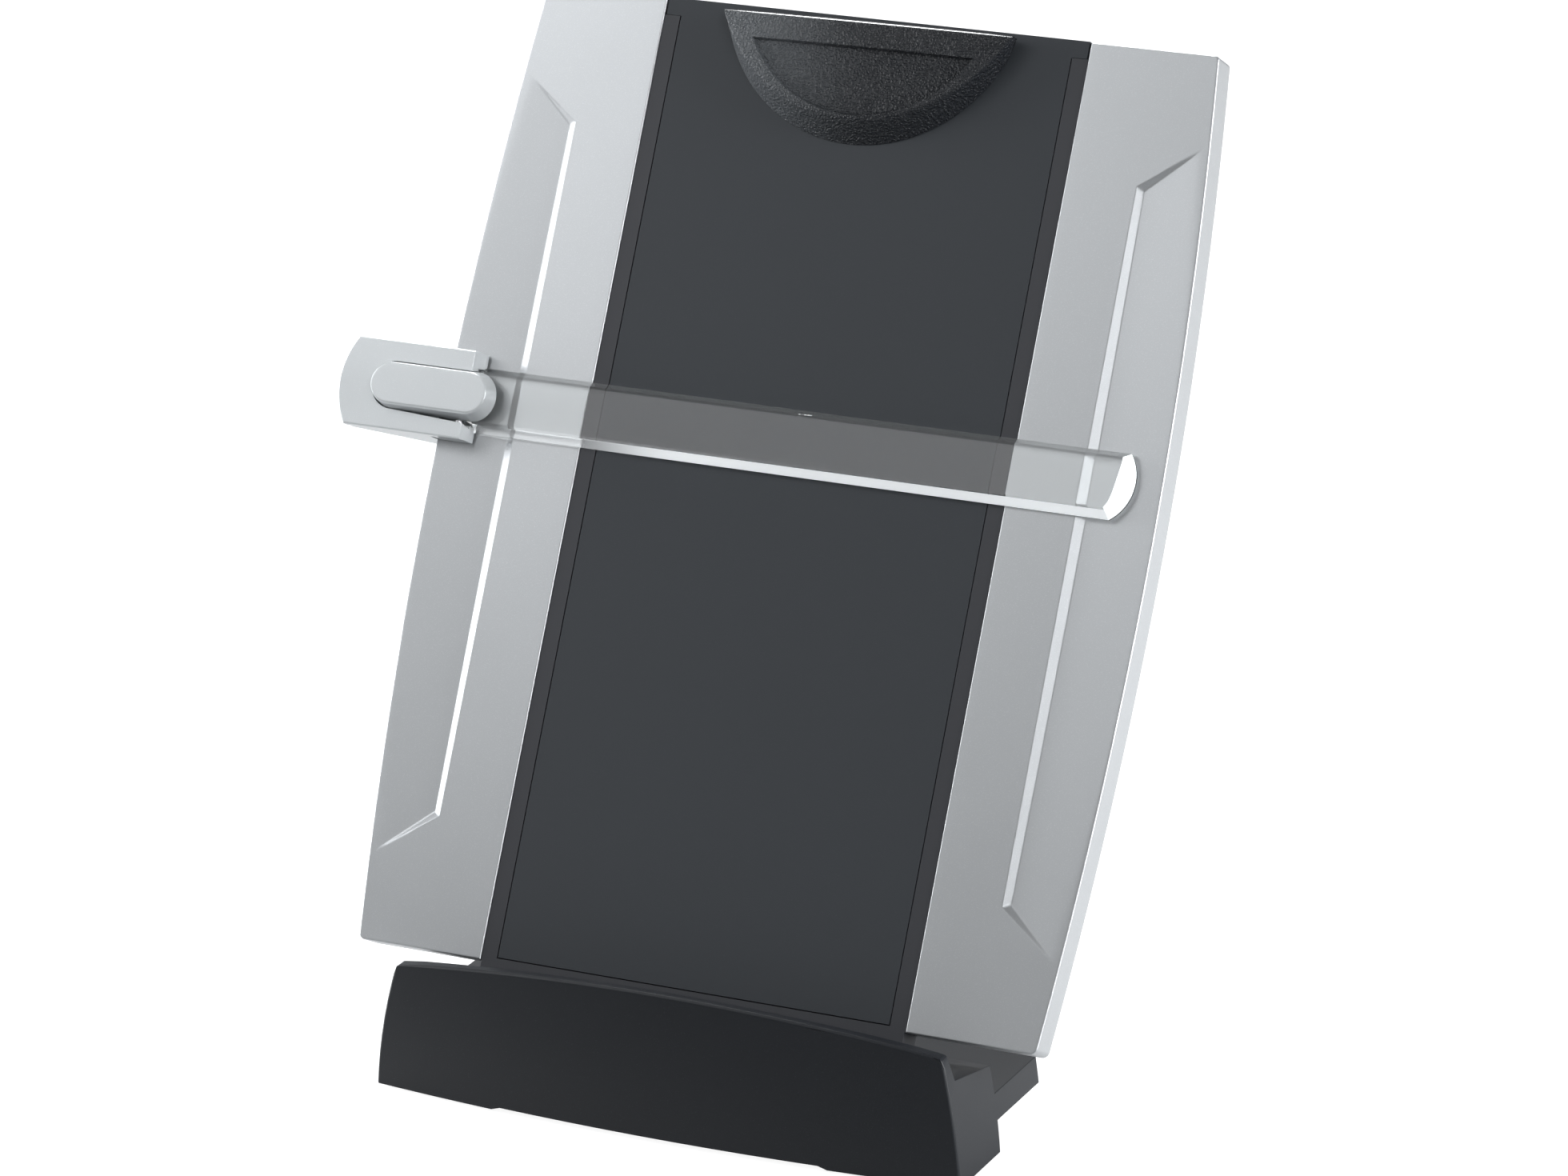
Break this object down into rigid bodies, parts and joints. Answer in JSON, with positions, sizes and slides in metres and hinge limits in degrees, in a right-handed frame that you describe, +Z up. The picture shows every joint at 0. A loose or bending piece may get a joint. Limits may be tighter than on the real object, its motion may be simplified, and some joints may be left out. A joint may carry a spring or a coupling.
{
  "type": "copy holder with line guide",
  "caption": "Leaning copy holder: black board with silver wings in a socketed base, sliding clear line guide with a press lever, and a sprung memo clip.",
  "frame": {"origin": "middle of the front foot's face on the desk", "axes": "+X to the reader's right across the board, +Y to the rear, +Z up"},
  "size_m": [0.2737, 0.1714, 0.3124],
  "materials": {
    "silver_plastic": "fine metallic grey, satin",
    "silver_gloss": "metallic grey, smooth",
    "black_plastic": "fine spark texture",
    "black_panel": "fine even grain",
    "black_grain": "pebbled leather grain",
    "clear_acrylic": "polished, bevelled edges",
    "steel": "bright",
    "channel_metal": "plain extrusion",
    "runner_nylon": "natural",
    "rubber": "matt"
  },
  "bodies": {
    "base": {"base_shell": "black_plastic", "base_cover": "black_plastic", "base_screws": "steel", "front_foot": "rubber", "rear_feet": "rubber"},
    "board": {"centre_frame": "black_plastic", "panel_insert": "black_panel", "left_wing": "silver_plastic", "right_wing": "silver_plastic", "rear_cover": "black_plastic", "cover_screws": "steel", "guide_channel": "channel_metal", "clip_pin": "steel", "clip_spring": "steel"},
    "clip": {"clip_jaw": "black_grain"},
    "clamp": {"holder_front": "silver_gloss", "holder_back": "silver_gloss", "clamp_screws": "steel", "runner": "runner_nylon", "brake_spring": "steel", "pivot_pin": "steel", "lever_spring": "steel"},
    "guide": {"press_lever": "silver_gloss", "line_bar": "clear_acrylic"}
  },
  "joints": [
    {"name": "board_lift", "type": "slide", "parent": "base", "child": "board", "axis": [0, 0.4485, 0.8938], "range_m": [0, 0.036]},
    {"name": "guide_slide", "type": "slide", "parent": "board", "child": "clamp", "axis": [0, 0.4485, 0.8938], "range_m": [-0.112, 0.074]},
    {"name": "lever_hinge", "type": "hinge", "parent": "clamp", "child": "guide", "pos_m": [-0.112, 0.08064, 0.19376], "axis": [0, -0.4485, -0.8938], "range_deg": [0, 8], "stiffness_Nm_per_rad": 0.14, "springref_deg": -16.04},
    {"name": "clip_hinge", "type": "hinge", "parent": "board", "child": "clip", "pos_m": [0, 0.13745, 0.30651], "axis": [-1, 0, 0], "range_deg": [0, 20], "stiffness_Nm_per_rad": 0.1, "springref_deg": -20.05}
  ]
}
